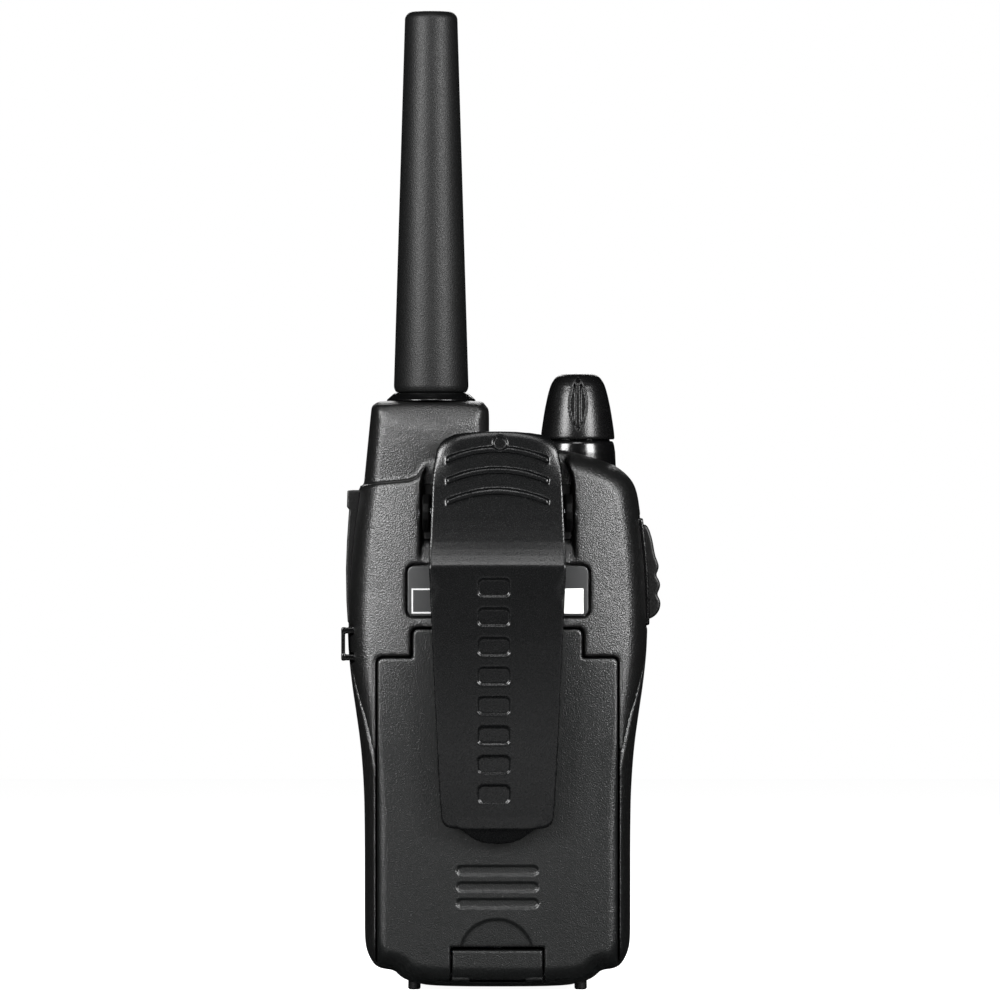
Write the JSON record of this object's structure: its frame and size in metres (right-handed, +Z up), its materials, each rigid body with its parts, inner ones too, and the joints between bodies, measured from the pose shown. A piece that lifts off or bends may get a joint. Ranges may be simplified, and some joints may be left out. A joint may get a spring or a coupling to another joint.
{
  "type": "walkie talkie",
  "caption": "Handheld two-way radio with a stub antenna, volume knob, side talk button, front display and keys, battery cover and sprung belt clip.",
  "frame": {"origin": "on the ground plane under the feet, at the middle of the radio's width and depth", "axes": "+Z up along the antenna, +Y out of the back where the belt clip is, the display faces -Y, +X on the antenna's side"},
  "size_m": [0.0641, 0.0392, 0.1969],
  "materials": {
    "casing_plastic": "fine-grained black",
    "clip_plastic": "smooth satin black",
    "gloss_plastic": "polished black",
    "soft_rubber": "matte black",
    "antenna_rubber": "matte black with a fine grain",
    "label_film": "grey printed film without text",
    "display_glass": "clear polished",
    "display_glass_module": "grey-green liquid crystal",
    "key_rubber": "grey",
    "plated_steel": "plated",
    "switch_plastic": "black",
    "circuit_board": "green solder mask",
    "speaker_paper": "pressed fibre",
    "magnet_iron": "dark",
    "cell_wrap": "plain blue wrap"
  },
  "bodies": {
    "radio": {"front_casing": "casing_plastic", "rear_casing": "casing_plastic", "label_plate": "label_film", "antenna_sleeve": "antenna_rubber", "antenna_collar": "casing_plastic", "antenna_core": "plated_steel", "volume_potentiometer": "plated_steel", "knob_base_ring": "gloss_plastic", "ptt_frame": "casing_plastic", "ptt_switch": "switch_plastic", "speaker_mic_jack": "switch_plastic", "charge_jack": "switch_plastic", "lanyard_loop": "gloss_plastic", "display_bezel": "gloss_plastic", "display_lens": "display_glass", "display_module": "display_glass_module", "keypad_membrane": "key_rubber", "main_board": "circuit_board", "shield_can": "plated_steel", "speaker_frame": "plated_steel", "speaker_cone": "speaker_paper", "speaker_magnet": "magnet_iron", "microphone": "plated_steel", "battery_cell_1": "cell_wrap", "battery_cell_2": "cell_wrap", "battery_cell_3": "cell_wrap", "battery_spring_1": "plated_steel", "battery_spring_2": "plated_steel", "battery_spring_3": "plated_steel", "battery_contact": "plated_steel", "case_screw_1": "plated_steel", "case_screw_2": "plated_steel", "case_screw_3": "plated_steel", "case_screw_4": "plated_steel", "foot_1": "soft_rubber", "foot_2": "soft_rubber", "foot_3": "soft_rubber", "foot_4": "soft_rubber"},
    "cover": {"battery_cover": "casing_plastic", "battery_latch_pin": "plated_steel"},
    "latch": {"battery_latch": "casing_plastic"},
    "knob": {"volume_knob": "gloss_plastic", "volume_shaft": "plated_steel"},
    "talk_button": {"ptt_button": "soft_rubber"},
    "keypad_key_1": {"key_1": "key_rubber"},
    "keypad_key_2": {"key_2": "key_rubber"},
    "keypad_key_3": {"key_3": "key_rubber"},
    "keypad_key_4": {"key_4": "key_rubber"},
    "keypad_key_5": {"key_5": "key_rubber"},
    "keypad_key_6": {"key_6": "key_rubber"},
    "flap": {"jack_cover": "soft_rubber"},
    "clip_base": {"clip_bracket": "casing_plastic", "clip_hinge_pin": "plated_steel", "clip_torsion_spring": "plated_steel"},
    "clip": {"clip_lever": "clip_plastic"}
  },
  "joints": [
    {"name": "volume_turn", "type": "hinge", "parent": "radio", "child": "knob", "pos_m": [-0.0162, -0.0045, 0.1105], "axis": [0, 0, 1], "range_deg": [-280, 0]},
    {"name": "talk_press", "type": "slide", "parent": "radio", "child": "talk_button", "axis": [1, 0, 0], "range_m": [0, 0.0012], "stiffness_N_per_m": 1800, "springref_m": -0.0004},
    {"name": "key_1_press", "type": "slide", "parent": "radio", "child": "keypad_key_1", "axis": [0, 1, 0], "range_m": [0, 0.0007], "stiffness_N_per_m": 2200, "springref_m": -0.0002},
    {"name": "key_2_press", "type": "slide", "parent": "radio", "child": "keypad_key_2", "axis": [0, 1, 0], "range_m": [0, 0.0007], "stiffness_N_per_m": 2200, "springref_m": -0.0002},
    {"name": "key_3_press", "type": "slide", "parent": "radio", "child": "keypad_key_3", "axis": [0, 1, 0], "range_m": [0, 0.0007], "stiffness_N_per_m": 2200, "springref_m": -0.0002},
    {"name": "key_4_press", "type": "slide", "parent": "radio", "child": "keypad_key_4", "axis": [0, 1, 0], "range_m": [0, 0.0007], "stiffness_N_per_m": 2200, "springref_m": -0.0002},
    {"name": "key_5_press", "type": "slide", "parent": "radio", "child": "keypad_key_5", "axis": [0, 1, 0], "range_m": [0, 0.0007], "stiffness_N_per_m": 2200, "springref_m": -0.0002},
    {"name": "key_6_press", "type": "slide", "parent": "radio", "child": "keypad_key_6", "axis": [0, 1, 0], "range_m": [0, 0.0007], "stiffness_N_per_m": 2200, "springref_m": -0.0002},
    {"name": "jack_flap_open", "type": "hinge", "parent": "radio", "child": "flap", "pos_m": [0.02975, -0.0024, 0.0739], "axis": [0, 1, 0], "range_deg": [0, 95], "stiffness_Nm_per_rad": 0.0005},
    {"name": "cover_slide_off", "type": "slide", "parent": "radio", "child": "cover", "axis": [0, 0, -1], "range_m": [0, 0.075]},
    {"name": "latch_open", "type": "hinge", "parent": "cover", "child": "latch", "pos_m": [0, 0.0093, 0.003], "axis": [-1, 0, 0], "range_deg": [0, 75]},
    {"name": "clip_slide_off", "type": "slide", "parent": "radio", "child": "clip_base", "axis": [0, 0, 1], "range_m": [0, 0.04]},
    {"name": "clip_squeeze", "type": "hinge", "parent": "clip_base", "child": "clip", "pos_m": [0, 0.012, 0.096], "axis": [1, 0, 0], "range_deg": [0, 13], "stiffness_Nm_per_rad": 1.2, "springref_deg": -8.59}
  ]
}
